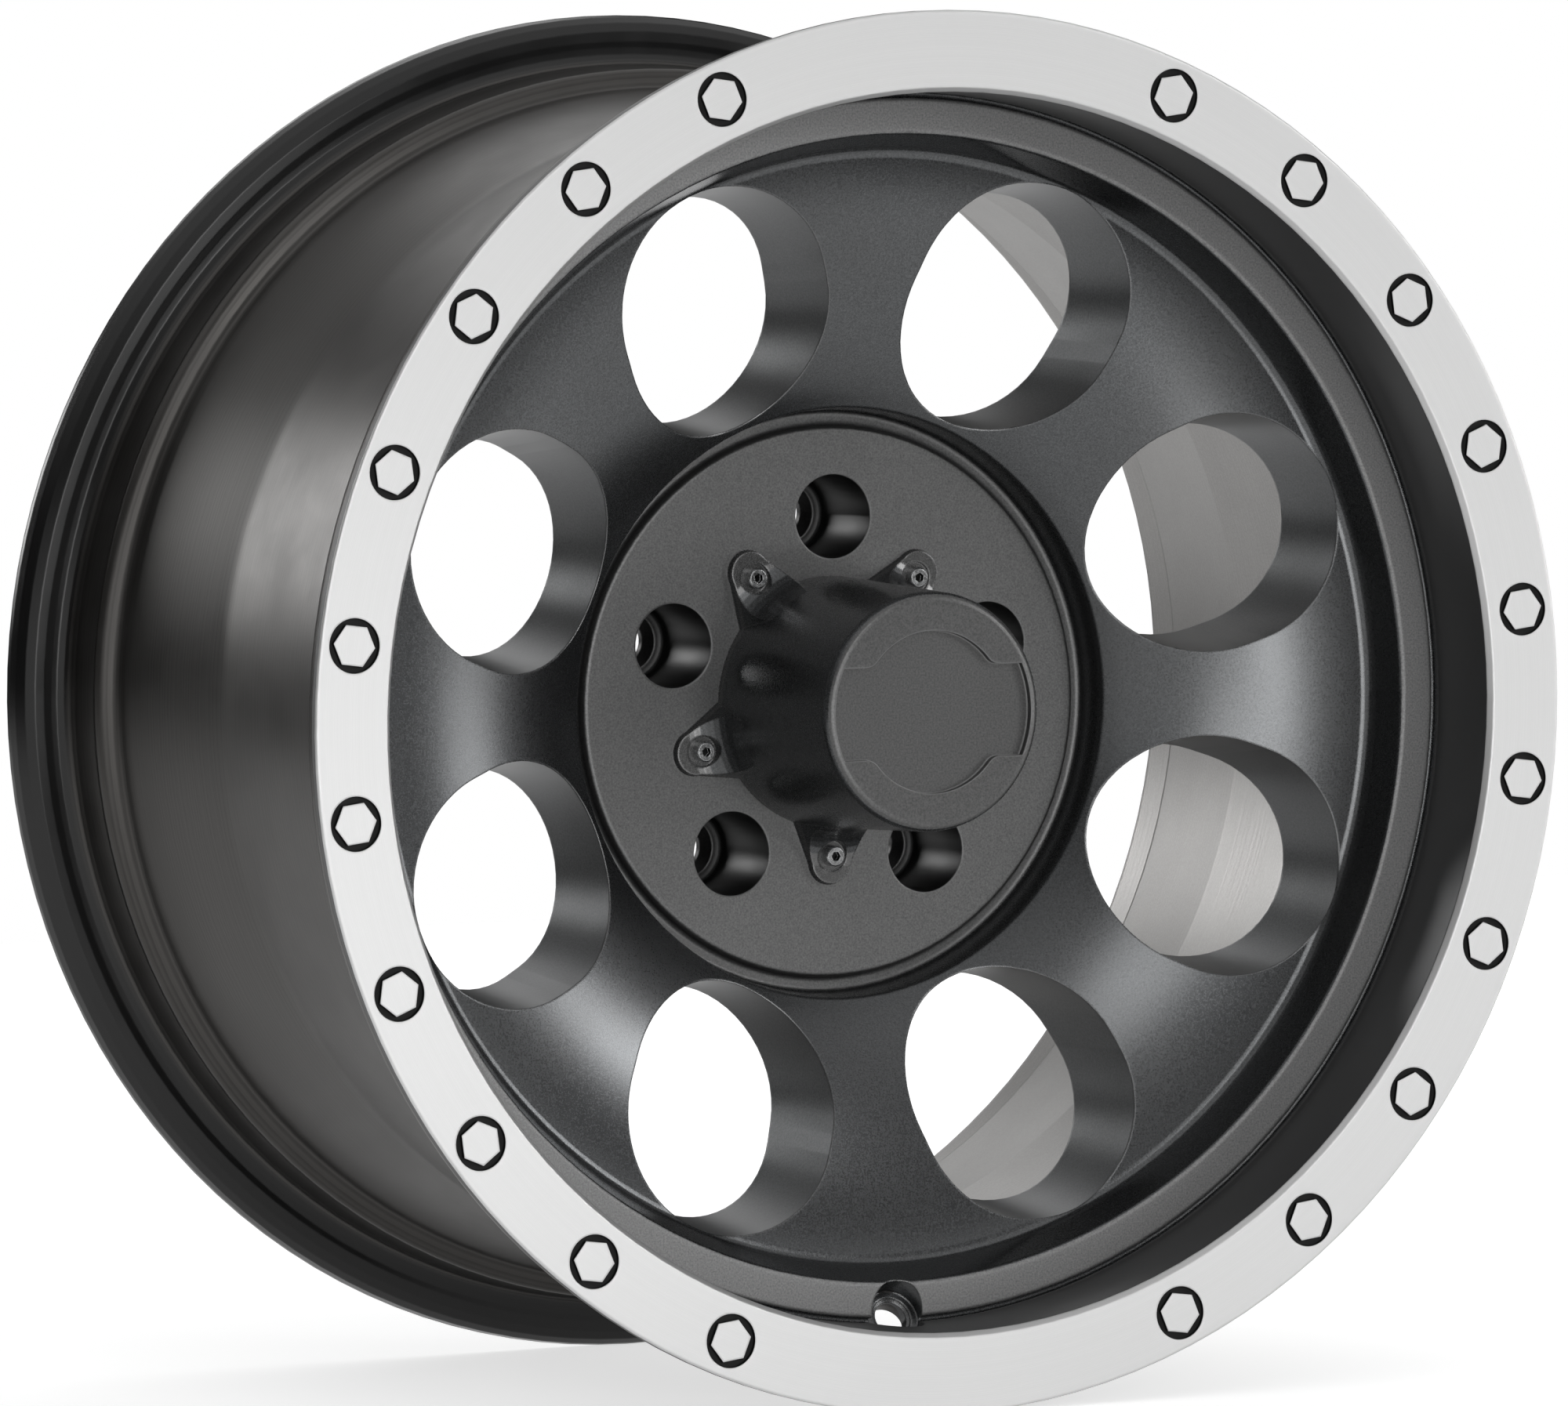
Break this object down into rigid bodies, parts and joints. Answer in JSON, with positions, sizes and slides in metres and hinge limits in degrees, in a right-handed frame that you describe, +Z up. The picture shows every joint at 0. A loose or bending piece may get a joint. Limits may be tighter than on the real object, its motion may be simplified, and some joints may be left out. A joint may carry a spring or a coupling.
{
  "type": "off-road car wheel",
  "caption": "Deep-dish cast alloy car wheel in satin black with round windows, a bright machined ring of engraved hexagon marks and a screwed-on centre cap.",
  "frame": {"origin": "centre of the wheel: on its axis, halfway between the outer faces of the two flanges", "axes": "Y along the wheel's axis with the ring face towards -Y and the mounting face towards +Y, +Z up with the valve hole at the bottom, X across"},
  "size_m": [0.4712, 0.254, 0.4712],
  "materials": {
    "wheel_finish": "satin black with a fine grain; ring face machined bright",
    "cap_finish": "satin black with a fine grain",
    "screw_steel": "plain zinc plated"
  },
  "bodies": {
    "root": {"wheel": "wheel_finish", "center_cap": "cap_finish", "cap_screws": "screw_steel"}
  },
  "joints": []
}
